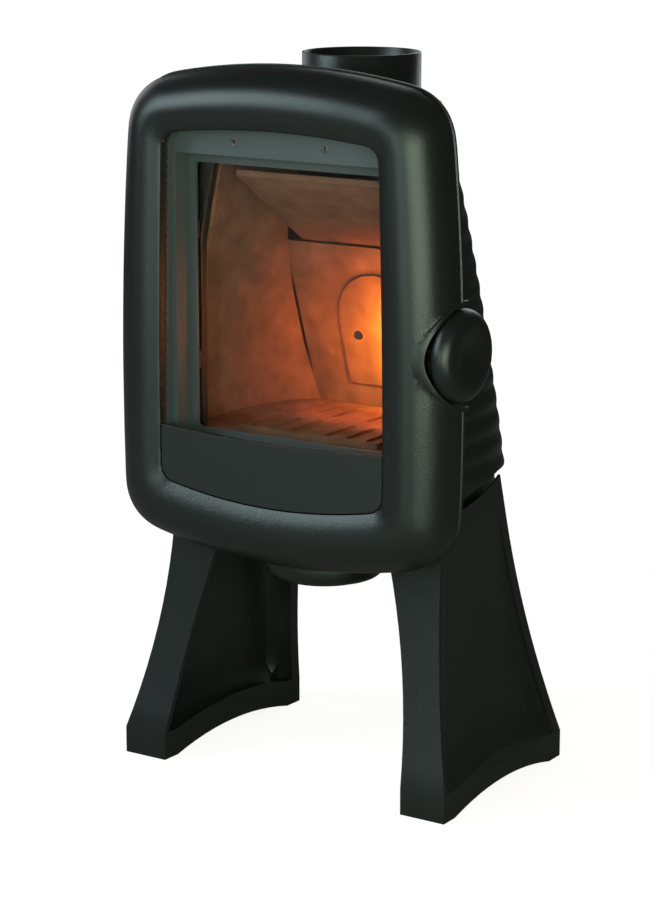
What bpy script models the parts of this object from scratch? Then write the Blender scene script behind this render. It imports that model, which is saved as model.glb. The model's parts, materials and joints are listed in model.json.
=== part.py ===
"""Cast iron wood stove on two splayed legs: a barrel body behind a wide door ring.

Metres, +Z up, +X to the viewer's right, the door faces -Y. The floor is Z = 0.
Depths on the door are given as a distance in front of RIM_Y, the plane of the ring's rear rim.
"""
import math

import bmesh
import bpy
from mathutils import Matrix, Vector

# Fits
GAP = 0.0003            # between pieces that touch
BORE_GAP = 0.0003       # round a pin, a spindle or a bolt
HAIR = 0.00003          # far less than any gap, to part two faces that lie on one another

# Door ring
RIM_Y = -0.109
RING_HALF = 0.2526
RING_BELLY_Z = 0.52
RING_SIDE_BOW = 0.143
RING_TOP_Z = 0.929
RING_TOP_BOW = 0.53
RING_LOW_Z = 0.286
RING_LOW_BOW = 0.58
RING_CORNER = 0.056
RING_CREST_IN = 0.055
RING_CREST_FRONT = 0.066
RING_RIM_LIP = 0.0035
RING_RIM_STEP = 0.0022
RING_TUCK = 0.0165
RING_TUCK_DEPTH = 0.040
RING_WALL = 0.0065
RING_FLANK = 0.0027
RING_LIP_WIDTH = 0.012
RING_LIP_THICK = 0.0115

# Opening in the ring
RING_BAND = 0.0831
OPENING_HALF = RING_HALF - RING_BAND
OPENING_BELLY_Z = 0.39
OPENING_SIDE_BOW = 0.040
OPENING_TOP_Z = 0.8505
OPENING_TOP_BOW = 0.42
OPENING_LOW_Z = 0.3745
OPENING_LOW_BOW = 0.68
OPENING_CORNER = 0.020
OPENING_FRONT = 0.057

# Window frame, glass and lower panel
FRAME_FACE = 0.030
FRAME_LIP_THICK = 0.005
FRAME_MARGIN = 0.020
FRAME_MARGIN_FRONT = 0.003
FRAME_WALL = 0.0105
FRAME_SIDE = 0.0095
FRAME_WINDOW_HALF = OPENING_HALF - FRAME_SIDE
FRAME_WINDOW_TOP = 0.813
FRAME_WINDOW_LOW = 0.443
GLASS_MARGIN = 0.009
GLASS_VIEW_TOP = 0.7985
GLASS_VIEW_LOW = 0.4535
WINDOW_CORNER = 0.006
SEAL_THICK = 0.0040
GLASS_THICK = 0.004
GLASS_SEAL_THICK = 0.0012
CLIP_THICK = 0.0015
CLIP_WIDTH = 0.022
PANEL_THICK = 0.007
PANEL_TOP_Z = 0.4587
PANEL_TOP_RISE = 0.23
PANEL_CLEAR = 0.0014
PANEL_BOSS_R = 0.007
PANEL_BOSS_X = 0.110
PANEL_BOSS_Z = 0.420
SCREW_X = 0.068
SCREW_Z = 0.8314
SCREW_HEAD_R = 0.0056
SCREW_SHANK_R = 0.0025

# Front frame of the body
FRONT_CLEAR = 0.014
FRONT_THICK = 0.012
FRONT_INSET = 0.0275
MOUTH_SIDE = 0.0175
MOUTH_HALF = OPENING_HALF - MOUTH_SIDE
MOUTH_TOP = 0.836
MOUTH_LOW = 0.388
MOUTH_FULL_Z = 0.70       # above this the mouth narrows with the body behind it
MOUTH_IN = 0.0025         # how far its side stays inside the side liner's face
MOUTH_CORNER = 0.020
DOOR_ROPE_R = 0.0040
DOOR_ROPE_OUT = 0.004

# Barrel body
BODY_IN = 0.0541
BODY_HALF = RING_HALF - BODY_IN
BODY_HALF_Z = 0.43
BODY_TAPER = 0.125
BODY_DOME_IN = 0.0151
BODY_DOME_Z = 0.60
BODY_BACK_Y = 0.173
BODY_BACK_SLOPE = 0.10
BODY_SQUARE = 3.9
BODY_SQUARE_DROP = 1.037
BODY_WALL = 0.008
BODY_TOP_Z = 0.862
PANEL_FOOT_Z = 0.3613
BACK_HALF = 0.085
RIB_PITCH = 0.0292
RIB_DEPTH = 0.0022
PANEL_TUCK = 0.0045
PANEL_TUCK_Z = 0.52
TOP_THICK = 0.010

# Flue collar
FLUE_Y = 0.047
FLUE_R = 0.0765
FLUE_WALL = 0.004
FLUE_TOP_Z = 0.934
FLUE_FLANGE_R = 0.0795
FLUE_FLANGE_THICK = 0.006

# Base, hearth and ash space
BASE_Z = 0.296
BASE_THICK = 0.010
SHELL_INSET = 0.0145
SHELL_WALL = 0.007
HEARTH_Z = 0.441
HEARTH_THICK = 0.008
GRATE_IN = 0.0905
GRATE_HALF = BODY_HALF - GRATE_IN
GRATE_THICK = 0.008
GRATE_FRONT_Y = -0.081
GRATE_BACK_Y = 0.109
GRATE_REST = 0.010
SLOT_PITCH = GRATE_HALF * 0.2917
SLOT_FIRST = GRATE_HALF * 0.25
SLOT_WIDTH = 0.009
SLOT_LENGTH = 0.071
CUT_PAST = 0.01           # how far a cutter runs past the face it leaves
SLOT_FRONT_Y = -0.040
SLOT_BACK_Y = 0.0575
PAN_IN = 0.0865
PAN_HALF = BODY_HALF - PAN_IN
PAN_Z = 0.3885
PAN_FRONT_Y = -0.071
PAN_BACK_Y = 0.107
PAN_HIGH = 0.045
PAN_WALL = 0.002
CARRIER_IN = 0.0805
CARRIER_HALF = BODY_HALF - CARRIER_IN
CARRIER_SHEET = 0.003

# Firebox liners
LINER_WALL = 0.006
LINER_TOP_Z = 0.850
LINER_JOINT = 0.0015
LINER_CLEAR = 0.0028
REAR_IN = 0.0745
REAR_HALF = BODY_HALF - REAR_IN
REAR_FOOT_Y = 0.140
REAR_TOP_Y = 0.071
REAR_TOP_Z = 0.677
REAR_THICK = 0.008
BOSS_HALF = 0.066
BOSS_LOW_Z = 0.482
BOSS_TOP_Z = 0.640
BOSS_RISE = 0.005
LINER_SCREW_X = 0.040
LINER_SCREW_Z = 0.552
LINER_SCREW_SEAT = 0.0026
BAFFLE_HALF = PAN_HALF
BAFFLE_FRONT_Y = -0.073
BAFFLE_SLOPE = 0.675

# Legs
LEG_OUT = 0.007
LEG_TOP_HALF = BODY_HALF + BODY_TAPER * (BODY_HALF_Z - BASE_Z - BASE_THICK) - SHELL_INSET + LEG_OUT
LEG_TOP_Z = 0.42
LEG_SPLAY = 0.0431
LEG_FLARE_Z = 0.345
LEG_THICK = 0.0215
LEG_INNER = LEG_TOP_HALF - LEG_THICK
LEG_INNER_LEAN = 0.02844
LEG_INNER_BOW = 0.03674
LEG_TOE_IN = 0.0065
LEG_FRONT_Y = -0.0874
LEG_FRONT_Z = 0.32
LEG_FRONT_LEAN = 0.02987
LEG_FRONT_BOW = 0.02752
LEG_REAR_Y = 0.165
LEG_REAR_LEAN = 0.06871
LEG_REAR_BOW = 0.01054
LEG_FLANGE = 0.017
LEG_FRONT_WALL = 0.008
LEG_BAND_HIGH = 0.0367
LEG_WEB = 0.008
LEG_RECESS = 0.013
LEG_FILLET = 0.018
LEG_FOOT_FILLET = 0.028
LEG_SWEEP = 0.055
FOOT_HIGH = 0.0355
ARCH_RISE = 0.016
ARCH_HALF = 0.126
ARCH_Y = 0.009
SLIT_Z = 0.3795
SLIT_SLOPE = 0.155
SLIT_RISE = 0.01044
SLIT_END_Y = 0.0705
SLIT_WIDTH = 0.010
SLIT_END_WIDTH = 0.002
SLIT_POST_Y = -0.035
SLIT_POST_R = 0.0018
LEG_BOLT_IN = 0.0415
LEG_BOLT_X = LEG_TOP_HALF - LEG_BOLT_IN
LEG_BOLT_REACH = 0.016
LEG_BOLT_R = 0.003
LEG_PAD_HIGH = 0.014

# Hinge
HINGE_IN = 0.0166
HINGE_X = HINGE_IN - RING_HALF
HINGE_BACK = 0.009
HINGE_R = 0.0065
HINGE_PIN_R = 0.003
HINGE_HIGH = 0.018
HINGE_LOW_Z = 0.455
HINGE_TOP_Z = 0.745

# Handle and latch
KNOB_Z = 0.589
KNOB_BACK = 0.001
KNOB_R = 0.0562
KNOB_PROUD = 0.0094
KNOB_THICK = 0.0325
KNOB_OUT_X = RING_HALF + KNOB_PROUD
KNOB_IN_X = KNOB_OUT_X - KNOB_THICK
KNOB_EDGE = 0.0165
KNOB_FULL_X = KNOB_OUT_X - KNOB_EDGE
KNOB_DISH = 0.0065
NOTCH_BACK = 0.0050
NOTCH_R = 0.0626
NOTCH_WALL = 0.0050
NOTCH_PROUD = 0.0014
NOTCH_LIFT = 0.0055
NOTCH_DEEP = 0.0476
NOTCH_IN_X = RING_HALF - NOTCH_DEEP
SPINDLE_R = 0.005
LATCH_CLEAR = 0.007
SPINDLE_IN_X = OPENING_HALF + FRAME_MARGIN + LATCH_CLEAR
TONGUE_STEP = 0.0025
TONGUE_THICK = 0.006
TONGUE_X = SPINDLE_IN_X + TONGUE_STEP
TONGUE_END_X = TONGUE_X + TONGUE_THICK
BEARING_CLEAR = 0.004
BEARING_X = TONGUE_END_X + BEARING_CLEAR
BEARING_END_X = KNOB_IN_X - BEARING_CLEAR
TONGUE_R = 0.0275
KEEPER_BACK = 0.020
KEEPER_R = 0.003
KEEPER_SLOT = 0.0035
KEEPER_CLEAR = 0.009
KEEPER_X = TONGUE_X - KEEPER_CLEAR
KEEPER_END_X = TONGUE_END_X + KEEPER_CLEAR
KEEPER_HALF_Z = 0.030

# Combustion air valve under the base
VALVE_Y = -0.038
VALVE_R = 0.080
VALVE_LOW_Z = 0.262
VALVE_TOP_Z = 0.2905
VALVE_WALL = 0.004
VALVE_GRIP_HIGH = 0.008
VALVE_TEETH = 30
VALVE_TOOTH = 0.0011
VALVE_STUD_R = 0.004
VALVE_HUB_R = 0.012
SHUTTER_THICK = 0.003
AIR_HOLES = 6
AIR_HOLE_R = 0.011
AIR_RING_R = 0.042

FRONT_Y = RIM_Y + FRONT_CLEAR
FRAME_BACK = -FRAME_LIP_THICK
BODY_FRONT_Y = FRONT_Y + FRONT_THICK + GAP
LIP_BACK = OPENING_FRONT - RING_LIP_THICK
KNOB_Y = RIM_Y + KNOB_BACK
NOTCH_Y = RIM_Y + NOTCH_BACK
HEARTH_TOP = HEARTH_Z + HEARTH_THICK
BASE_TOP = BASE_Z + BASE_THICK

SKIN_STEPS = 8
SIDE_STEPS = 7
END_STEPS = 8
CORNER_STEPS = 7
ROUND_STEPS = 48
RIB_STEPS = 4
POCKET_SHARES = (0, 0.04, 0.09, 0.16, 0.30, 0.50, 0.70, 0.84, 0.91, 0.96, 1)
PANEL_STEPS = 8

materials = {}
FINISHES = {
    "black_cast_iron": ((0.032, 0.038, 0.037), 0.52, 0.35),
    "grey_cast_iron": ((0.075, 0.095, 0.098), 0.55, 0.35),
    "firebox_iron": ((0.060, 0.036, 0.024), 0.80, 0.20),
    "panel_paint": ((0.022, 0.027, 0.026), 0.60, 0.20),
    "glass": ((0.80, 0.82, 0.80), 0.05, 0.0),
    "rope": ((0.10, 0.10, 0.09), 0.95, 0.0),
    "steel": ((0.30, 0.30, 0.30), 0.35, 1.0),
}


def clear_scene():
    for item in list(bpy.data.objects):
        bpy.data.objects.remove(item, do_unlink=True)


def finish_material(name):
    if name not in materials:
        colour, rough, metal = FINISHES[name]
        made = bpy.data.materials.new(name)
        made.use_nodes = True
        shader = made.node_tree.nodes["Principled BSDF"]
        shader.inputs["Base Color"].default_value = (*colour, 1.0)
        shader.inputs["Roughness"].default_value = rough
        shader.inputs["Metallic"].default_value = metal
        materials[name] = made
    return materials[name]


def on_door(front):
    """World Y of a point that lies this far in front of the ring's rear rim."""
    return RIM_Y - front


# Mesh makers
def make(name, verts, faces, finish, origin=(0, 0, 0), smooth=True):
    mesh = bpy.data.meshes.new(name)
    home = Vector(origin)
    mesh.from_pydata([Vector(v) - home for v in verts], [], faces)
    work = bmesh.new()
    work.from_mesh(mesh)
    bmesh.ops.remove_doubles(work, verts=work.verts, dist=1e-6)
    bmesh.ops.recalc_face_normals(work, faces=work.faces)
    work.to_mesh(mesh)
    work.free()
    if smooth:
        mesh.shade_smooth()
        mesh.set_sharp_from_angle(angle=math.radians(35))
    item = bpy.data.objects.new(name, mesh)
    item.location = home
    bpy.context.collection.objects.link(item)
    mesh.materials.append(finish_material(finish))
    return item


def loft(name, loops, finish, origin=(0, 0, 0), ring=False, strips=False, smooth=True):
    """A skin through loops of equal length. A ring joins the last loop to the first.

    The ends are closed with one face each, or with strips across a loop that runs out and back.
    """
    count = len(loops[0])
    verts = [point for loop in loops for point in loop]
    faces = []
    rows = len(loops) if ring else len(loops) - 1
    for row in range(rows):
        here = row * count
        there = ((row + 1) % len(loops)) * count
        for k in range(count):
            nxt = (k + 1) % count
            faces.append((here + k, here + nxt, there + nxt, there + k))
    for base in () if ring else (0, (len(loops) - 1) * count):
        if strips:
            for k in range(count // 2 - 1):
                faces.append((base + k, base + k + 1, base + count - 2 - k, base + count - 1 - k))
        else:
            faces.append(tuple(base + k for k in range(count)))
    return make(name, verts, faces, finish, origin, smooth)


def slab(name, near, far, finish, origin=(0, 0, 0), smooth=True):
    """A wall between two grids of points, near[row][column] and far[row][column]."""
    loops = [list(a) + list(reversed(b)) for a, b in zip(near, far)]
    return loft(name, loops, finish, origin, strips=True, smooth=smooth)


def box(name, low, high, finish, origin=(0, 0, 0)):
    x0, y0, z0 = low
    x1, y1, z1 = high
    loops = [[(x0, y0, z), (x1, y0, z), (x1, y1, z), (x0, y1, z)] for z in (z0, z1)]
    return loft(name, loops, finish, origin, smooth=False)


def plate_xz(name, outline, y0, y1, finish, origin=(0, 0, 0)):
    """A flat plate that stands upright, from an outline of (x, z) points."""
    loops = [[(x, y, z) for x, z in outline] for y in (y0, y1)]
    return loft(name, loops, finish, origin)


def plate_xy(name, outline, z0, z1, finish, origin=(0, 0, 0)):
    loops = [[(x, y, z) for x, y in outline] for z in (z0, z1)]
    return loft(name, loops, finish, origin)


def plate_yz(name, outline, x0, x1, finish, origin=(0, 0, 0)):
    loops = [[(x, y, z) for y, z in outline] for x in (x0, x1)]
    return loft(name, loops, finish, origin)


def turned(name, profile, axis, centre, finish, origin=None, steps=ROUND_STEPS, ring=False):
    """A solid of revolution. The profile holds (radius, place along the axis) points."""
    loops = []
    middle = Vector(centre)
    for radius, along in profile:
        loop = []
        for k in range(steps):
            a = 2 * math.pi * k / steps
            c, s = radius * math.cos(a), radius * math.sin(a)
            if axis == "Z":
                step = Vector((c, s, along))
            elif axis == "X":
                step = Vector((along, c, s))
            else:
                step = Vector((c, along, s))
            loop.append(middle + step)
        loops.append(loop)
    return loft(name, loops, finish, centre if origin is None else origin, ring=ring)


def cut_once(item, other, operation):
    """Applies one solid to the item. Returns whether a closed solid is left."""
    step = item.modifiers.new("carve", "BOOLEAN")
    step.operation = operation
    step.solver = "EXACT"
    step.object = other
    bpy.context.view_layer.update()
    with bpy.context.temp_override(object=item, active_object=item):
        bpy.ops.object.modifier_apply(modifier=step.name)
    work = bmesh.new()
    work.from_mesh(item.data)
    bmesh.ops.remove_doubles(work, verts=work.verts, dist=1e-6)
    bmesh.ops.dissolve_degenerate(work, edges=work.edges, dist=1e-6)
    closed = bool(work.faces) and all(len(edge.link_faces) == 2 for edge in work.edges)
    work.to_mesh(item.data)
    work.free()
    return closed


def carve(item, others, operation="DIFFERENCE"):
    """Applies each other solid to the item and removes it.

    Where two faces lie on one another and the result isn't closed, it is moved by a hair.
    """
    for other in others:
        whole = item.data
        home = other.location.copy()
        for shift in (0.0, HAIR, -HAIR):
            item.data = whole.copy()
            other.location = home + Vector((shift, shift, shift))
            if cut_once(item, other, operation):
                break
        bpy.data.objects.remove(other, do_unlink=True)
    item.data.shade_smooth()
    item.data.set_sharp_from_angle(angle=math.radians(35))
    return item


def round_hole(axis, centre, radius, low, high, steps=16):
    return turned("hole", [(radius, low), (radius, high)], axis, centre, "steel", steps=steps)


def rounded_box_xz(half, low, high, corner, steps=3):
    """Outline of an upright rectangle, centred on x = 0, with round corners."""
    points = []
    for cx, cz, start in ((half - corner, high - corner, 0), (corner - half, high - corner, 90),
                          (corner - half, low + corner, 180), (half - corner, low + corner, 270)):
        for k in range(steps + 1):
            a = math.radians(start + 90 * k / steps)
            points.append((cx + corner * math.cos(a), cz + corner * math.sin(a)))
    return points


# Outlines of the door
def bowed_outline(half, belly, side_bow, high, top_bow, low, low_bow, corner):
    """A rectangle with four bowed sides and eased corners, as (x, z) points."""
    def side(z):
        return half - side_bow * (z - belly) ** 2

    def top(x):
        return high - top_bow * x * x

    def foot(x):
        return low + low_bow * x * x

    def meet(end):
        x = half
        for _ in range(12):
            x = side(end(x))
        return x, end(x)

    tx, tz = meet(top)
    fx, fz = meet(foot)
    points = []

    def ease(start, bend, end):
        for k in range(1, CORNER_STEPS):
            t = k / CORNER_STEPS
            a, b, c = (1 - t) ** 2, 2 * t * (1 - t), t * t
            points.append((a * start[0] + b * bend[0] + c * end[0],
                           a * start[1] + b * bend[1] + c * end[1]))

    right = []
    for k in range(SIDE_STEPS + 1):
        z = fz + corner + (tz - fz - 2 * corner) * k / SIDE_STEPS
        right.append((side(z), z))
    top_run = []
    low_run = []
    for k in range(END_STEPS + 1):
        t = 1 - 2 * k / END_STEPS
        top_run.append(((tx - corner) * t, top((tx - corner) * t)))
        low_run.append(((corner - fx) * t, foot((corner - fx) * t)))
    left = [(-x, z) for x, z in reversed(right)]
    points += right
    ease(right[-1], (tx, tz), top_run[0])
    points += top_run
    ease(top_run[-1], (-tx, tz), left[0])
    points += left
    ease(left[-1], (-fx, fz), low_run[0])
    points += low_run
    ease(low_run[-1], (fx, fz), right[0])
    return points


def blend(a, b, t):
    return a + (b - a) * t


RING_WIDE = RING_BAND + RING_FLANK


def tuck(front):
    """How far the underside of the ring draws up towards its rear rim."""
    share = max(0.0, 1 - front / RING_TUCK_DEPTH)
    return RING_TUCK * share * share


def ring_loop(inward, front):
    """One loop of the ring: this far in from its outer edge and in front of its rim."""
    t = inward / RING_WIDE
    outline = bowed_outline(
        blend(RING_HALF, OPENING_HALF, t),
        blend(RING_BELLY_Z, OPENING_BELLY_Z, t),
        blend(RING_SIDE_BOW, OPENING_SIDE_BOW, t),
        blend(RING_TOP_Z, OPENING_TOP_Z, t),
        blend(RING_TOP_BOW, OPENING_TOP_BOW, t),
        blend(RING_LOW_Z, OPENING_LOW_Z, t) + tuck(front),
        blend(RING_LOW_BOW, OPENING_LOW_BOW, t),
        blend(RING_CORNER, OPENING_CORNER, t))
    return [(x, on_door(front), z) for x, z in outline]


def opening_outline(outward):
    """The ring's opening, grown by this much."""
    return bowed_outline(
        OPENING_HALF + outward, OPENING_BELLY_Z, OPENING_SIDE_BOW,
        OPENING_TOP_Z + outward, OPENING_TOP_BOW,
        OPENING_LOW_Z - outward, OPENING_LOW_BOW, max(0.004, OPENING_CORNER + 0.8 * outward))


def ring_skin():
    """The outer face of the ring, from its rim to the edge of the opening."""
    points = [(0, 0), (0, RING_RIM_LIP), (RING_RIM_STEP, RING_RIM_LIP + 0.001)]
    for k in range(1, SKIN_STEPS + 1):
        a = math.pi / 2 * k / SKIN_STEPS
        inward = RING_RIM_STEP + (RING_CREST_IN - RING_RIM_STEP) * (1 - math.cos(a))
        front = RING_RIM_LIP + 0.001 + (RING_CREST_FRONT - RING_RIM_LIP - 0.001) * math.sin(a)
        points.append((inward, front))
    for share in (0.35, 0.70, 1.0):
        inward = blend(RING_CREST_IN, RING_WIDE, share)
        points.append((inward, RING_CREST_FRONT - (RING_CREST_FRONT - OPENING_FRONT) * share ** 2))
    return points


def ring_surface_x(front, z):
    """Outer X of the ring's right side at this depth and height."""
    skin = ring_skin()[2:]
    inward = skin[0][0]
    for (a, f0), (b, f1) in zip(skin, skin[1:]):
        if f0 <= front <= f1:
            inward = a + (b - a) * (front - f0) / (f1 - f0)
    bow = blend(RING_SIDE_BOW, OPENING_SIDE_BOW, inward / RING_WIDE)
    belly = blend(RING_BELLY_Z, OPENING_BELLY_Z, inward / RING_WIDE)
    return blend(RING_HALF, OPENING_HALF, inward / RING_WIDE) - bow * (z - belly) ** 2


def notch_sleeve():
    """The wall of the round pocket in the ring's edge that the knob sits in."""
    loops = []
    steps = 28
    outer = NOTCH_R + NOTCH_WALL
    half = math.pi - math.acos(NOTCH_BACK / outer)
    for k in range(steps + 1):
        a = math.pi - half + 2 * half * k / steps
        c, s = math.cos(a), math.sin(a)
        loop = []
        for radius, proud in ((NOTCH_R, None), (NOTCH_R, 0.7), (NOTCH_R + 0.35 * NOTCH_WALL, 1.0),
                              (NOTCH_R + 0.75 * NOTCH_WALL, 1.0), (outer, -0.5), (outer, None)):
            y = NOTCH_Y + radius * c
            z = KNOB_Z + radius * s
            x = NOTCH_IN_X
            if proud is not None:
                front = max(0.0, RIM_Y - y)
                lift = NOTCH_PROUD + NOTCH_LIFT * (front / outer) ** 2
                x = ring_surface_x(front, z) + proud * lift
            loop.append((x, y, z))
        loops.append(loop)
    return loft("sleeve", loops, "black_cast_iron")


def build_ring():
    skin = ring_skin()
    loops = [ring_loop(inward, front) for inward, front in skin]
    loops.append(ring_loop(RING_WIDE, OPENING_FRONT - 0.003))
    loops.append(ring_loop(RING_WIDE, LIP_BACK))
    loops.append(ring_loop(RING_WIDE - RING_LIP_WIDTH, LIP_BACK))
    deep = RING_CREST_FRONT - RING_WALL
    for degrees in (78, 52, 28, 0):
        a = math.radians(degrees)
        inward = RING_CREST_IN - (RING_CREST_IN - RING_RIM_STEP - RING_WALL) * math.cos(a)
        loops.append(ring_loop(inward, deep * math.sin(a)))
    ring = loft("door_ring", loops, "black_cast_iron", door_home(), ring=True)
    bite = round_hole("X", (NOTCH_IN_X - NOTCH_WALL, NOTCH_Y, KNOB_Z), NOTCH_R + NOTCH_WALL / 2, 0,
                      RING_HALF, 40)
    carve(ring, [bite])
    carve(ring, [notch_sleeve()], "UNION")
    return ring


def door_home():
    return (HINGE_X, on_door(-HINGE_BACK), 0)


def build_window():
    home = door_home()
    seal_front = LIP_BACK - GAP
    flange_front = seal_front - SEAL_THICK - GAP

    def loop(outward, front):
        return [(x, on_door(front), z) for x, z in opening_outline(outward)]

    frame = loft("window_frame", [
        loop(FRAME_MARGIN, FRAME_BACK), loop(FRAME_MARGIN, FRAME_MARGIN_FRONT),
        loop(FRAME_WALL, FRAME_MARGIN_FRONT), loop(FRAME_WALL, flange_front),
        loop(0, flange_front), loop(0, FRAME_FACE)], "grey_cast_iron", home)
    recess = rounded_box_xz(FRAME_WINDOW_HALF, FRAME_WINDOW_LOW, FRAME_WINDOW_TOP, WINDOW_CORNER)
    sight = rounded_box_xz(FRAME_WINDOW_HALF - GLASS_MARGIN, GLASS_VIEW_LOW, GLASS_VIEW_TOP,
                           WINDOW_CORNER)
    cuts = [plate_xz("cut", recess, on_door(0), on_door(RING_CREST_FRONT), "steel"),
            plate_xz("cut", sight, on_door(-FRAME_FACE), on_door(FRAME_FACE), "steel")]
    sink = SCREW_HEAD_R - SCREW_SHANK_R
    for side in (-1, 1):
        centre = (side * SCREW_X, on_door(FRAME_FACE), SCREW_Z)
        bore = SCREW_SHANK_R + BORE_GAP
        head = SCREW_HEAD_R + BORE_GAP
        cuts.append(turned("cut", [(head, -0.002), (head, 0.0005), (bore, 0.0005 + sink),
                                   (bore, 2 * FRAME_FACE)], "Y", centre, "steel", steps=14))
    carve(frame, cuts)
    for side, word in ((-1, "left"), (1, "right")):
        centre = (side * SCREW_X, on_door(FRAME_FACE), SCREW_Z)
        screw = turned("window_screw_" + word,
                       [(SCREW_HEAD_R, 0.0001), (SCREW_HEAD_R, 0.0006),
                        (SCREW_SHANK_R, 0.0006 + sink), (SCREW_SHANK_R, FRAME_FACE + 0.004)],
                       "Y", centre, "steel", home, steps=14)
        socket = turned("cut", [(0.0028, -0.003), (0.0028, 0.0022)], "Y", centre, "steel", steps=6)
        carve(screw, [socket])

    def seal_loop(outward, front):
        return [(x, on_door(front), z) for x, z in opening_outline(outward)]

    loft("frame_seal", [seal_loop(0.0006, seal_front), seal_loop(FRAME_WALL - 0.001, seal_front),
                        seal_loop(FRAME_WALL - 0.001, seal_front - SEAL_THICK),
                        seal_loop(0.0006, seal_front - SEAL_THICK)], "rope", home, ring=True)

    glass_half = FRAME_WINDOW_HALF
    glass_low = GLASS_VIEW_LOW - GLASS_MARGIN
    glass_top = GLASS_VIEW_TOP + GLASS_MARGIN
    seal_back = FRAME_BACK - GAP - GLASS_SEAL_THICK
    glass_front = seal_back - GAP
    glass_back = glass_front - GLASS_THICK
    outer = rounded_box_xz(glass_half, glass_low, glass_top, WINDOW_CORNER)
    inner = rounded_box_xz(glass_half - GLASS_MARGIN + 0.001, GLASS_VIEW_LOW - 0.001,
                           GLASS_VIEW_TOP + 0.001, WINDOW_CORNER)
    front, back = on_door(FRAME_BACK - GAP), on_door(seal_back)
    loft("glass_seal", [[(x, front, z) for x, z in outer], [(x, front, z) for x, z in inner],
                        [(x, back, z) for x, z in inner], [(x, back, z) for x, z in outer]],
         "rope", home, ring=True)
    plate_xz("glass_pane", outer, on_door(glass_front), on_door(glass_back), "glass", home)

    reach = 0.007
    foot = 0.008
    for number, (side, z) in enumerate(((-1, 0.54), (-1, 0.71), (1, 0.54), (1, 0.71)), 1):
        low_z, high_z = z - CLIP_WIDTH / 2, z + CLIP_WIDTH / 2
        x_in = side * (glass_half - reach)
        x_edge = side * (glass_half + GAP * 2)
        x_out = side * (glass_half + foot)
        y_top = on_door(glass_back - GAP - CLIP_THICK)
        outline = [(x_in, y_top), (x_out, y_top), (x_out, on_door(FRAME_BACK - GAP)),
                   (x_edge, on_door(FRAME_BACK - GAP)), (x_edge, on_door(glass_back - GAP)),
                   (x_in, on_door(glass_back - GAP))]
        plate_xy("glass_clip_%d" % number, outline, low_z, high_z, "steel", home)

    rope_y = FRAME_BACK - GAP - DOOR_ROPE_R
    loops = []
    for k in range(5):
        a = 2 * math.pi * k / 5
        grow = DOOR_ROPE_OUT + FRAME_WALL / 2 + DOOR_ROPE_R * math.cos(a)
        loops.append(seal_loop(grow, rope_y + DOOR_ROPE_R * math.sin(a)))
    loft("door_rope", loops, "rope", home, ring=True)


def build_lower_panel():
    outline = opening_outline(-PANEL_CLEAR)
    panel = plate_xz("lower_panel", outline, on_door(OPENING_FRONT - 0.0005),
                     on_door(OPENING_FRONT - 0.0005 - PANEL_THICK), "panel_paint", door_home())
    line = []
    steps = 20
    for k in range(steps + 1):
        x = blend(-RING_HALF, RING_HALF, k / steps)
        line.append((x, PANEL_TOP_Z + PANEL_TOP_RISE * x * x))
    line += [(RING_HALF, RING_TOP_Z), (-RING_HALF, RING_TOP_Z)]
    carve(panel, [plate_xz("cut", line, on_door(0), on_door(RING_CREST_FRONT), "steel")])
    back = OPENING_FRONT - PANEL_THICK
    for side in (-1, 1):
        boss = turned("boss", [(PANEL_BOSS_R, 0), (PANEL_BOSS_R, back + 0.001 - FRAME_FACE - GAP)], "Y",
                      (side * PANEL_BOSS_X, on_door(back + 0.001), PANEL_BOSS_Z), "steel", steps=16)
        carve(panel, [boss], "UNION")


# Barrel body
def body_half(z):
    dome = max(0.0, z - BODY_DOME_Z) / (BODY_TOP_Z - BODY_DOME_Z)
    return BODY_HALF - BODY_TAPER * (z - BODY_HALF_Z) - BODY_DOME_IN * dome ** 2


def body_back(z):
    return BODY_BACK_Y - BODY_BACK_SLOPE * (z - BODY_HALF_Z)


def body_power(z):
    return BODY_SQUARE - BODY_SQUARE_DROP * (z - BODY_HALF_Z) / (BODY_TOP_Z - BODY_HALF_Z)


def body_point(angle, z, inset):
    """A point on the body's section. The angle runs from the right front round to the left."""
    power = 2 / body_power(z)
    c, s = math.cos(angle), math.sin(angle)
    half = body_half(z) - inset
    deep = body_back(z) - inset - BODY_FRONT_Y
    x = half * math.copysign(abs(c) ** power, c)
    return (x, BODY_FRONT_Y + deep * abs(s) ** power, z)


def seam_angle(z, inset, at):
    """The angle at which the section reaches this X."""
    half = body_half(z) - inset
    return math.acos((at / half) ** (body_power(z) / 2))


def depth_angle(z, inset, y):
    """The angle at which the section reaches this Y."""
    deep = body_back(z) - inset - BODY_FRONT_Y
    return math.asin(((y - BODY_FRONT_Y) / deep) ** (body_power(z) / 2))


def wall_rows(levels, columns, first, last, inset):
    rows = []
    for z in levels:
        start, end = first(z, inset), last(z, inset)
        rows.append([body_point(start + (end - start) * k / columns, z, inset)
                     for k in range(columns + 1)])
    return rows


def section_outline(z, inset, steps=28):
    points = []
    for k in range(steps + 1):
        x, y, _ = body_point(math.pi * k / steps, z, inset)
        points.append((x, y))
    return points


def slit_height(y):
    """Height of the leg's top edge, which is the lower side of the slit."""
    return SLIT_Z + SLIT_SLOPE * y + SLIT_RISE * (max(0.0, y) / SLIT_END_Y) ** 2


def slit_width(y):
    """The slit narrows to its end at the back."""
    share = max(0.0, y) / SLIT_END_Y
    return blend(SLIT_WIDTH, SLIT_END_WIDTH, share * share)


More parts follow.
